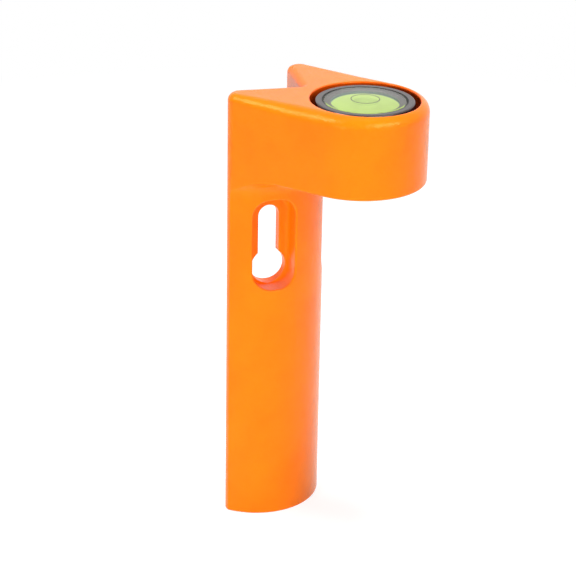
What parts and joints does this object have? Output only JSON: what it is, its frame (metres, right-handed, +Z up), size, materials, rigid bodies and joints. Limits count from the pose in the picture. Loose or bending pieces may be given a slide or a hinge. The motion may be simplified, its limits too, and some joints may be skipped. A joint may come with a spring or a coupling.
{
  "type": "rod level",
  "caption": "Rod level: notched orange casting whose head holds an adjustable round spirit vial, over a half-round leg with keyholes.",
  "frame": {"origin": "centre of the box's foot, on the surface the level stands on", "axes": "+Z up along the leg, +Y to the back where the notch opens, +X to the level's right, across its plane of symmetry"},
  "size_m": [0.034, 0.0472, 0.1175],
  "materials": {
    "powder_coat": "satin",
    "black_anodised": "satin",
    "clear_lens": "gloss",
    "black_rubber": "matte",
    "black_paint": "gloss",
    "bright_disc": "matte",
    "green_spirit": "gloss",
    "gas_bubble": "gloss",
    "zinc_steel": "satin",
    "brass": "satin"
  },
  "bodies": {
    "casting": {"body_casting": "powder_coat", "front_screw_washer": "zinc_steel", "right_screw_washer": "zinc_steel", "left_screw_washer": "zinc_steel", "front_vial_spring": "zinc_steel", "right_vial_spring": "zinc_steel", "left_vial_spring": "zinc_steel"},
    "vial": {"vial_housing": "black_anodised", "vial_lens": "clear_lens", "lens_gasket": "black_rubber", "lens_bead": "black_rubber", "centre_ring": "black_paint", "backing_disc": "bright_disc", "vial_fluid": "green_spirit", "filler_plug": "brass", "filler_ball": "black_rubber"},
    "bubble": {"vial_bubble": "gas_bubble"},
    "front_screw": {"front_adjusting_screw": "zinc_steel"},
    "right_screw": {"right_adjusting_screw": "zinc_steel"},
    "left_screw": {"left_adjusting_screw": "zinc_steel"}
  },
  "joints": [
    {"name": "vial_tilt", "type": "hinge", "parent": "casting", "child": "vial", "pos_m": [0, -0.0033, 0.1083], "axis": [1, 0, 0], "range_deg": [-2, 2], "deforming": ["front_vial_spring", "right_vial_spring", "left_vial_spring"]},
    {"name": "bubble_drift", "type": "hinge", "parent": "vial", "child": "bubble", "pos_m": [0, -0.00755, -0.05699], "axis": [1, 0, 0], "range_deg": [-1.8, 1.8], "stiffness_Nm_per_rad": 0.0002, "deforming": ["vial_fluid"]},
    {"name": "front_screw_turn", "type": "hinge", "parent": "casting", "child": "front_screw", "pos_m": [0, -0.01605, 0.1083], "axis": [0, 0, 1], "range_deg": [-330, 330]},
    {"name": "right_screw_turn", "type": "hinge", "parent": "casting", "child": "right_screw", "pos_m": [0.00736, -0.0033, 0.1083], "axis": [0, 0, 1], "range_deg": [-330, 330]},
    {"name": "left_screw_turn", "type": "hinge", "parent": "casting", "child": "left_screw", "pos_m": [-0.00736, -0.0033, 0.1083], "axis": [0, 0, 1], "range_deg": [-330, 330]}
  ],
  "couplings": [
    {"joint": "front_screw_turn", "follows": "vial_tilt", "ratio": 160.22}
  ]
}
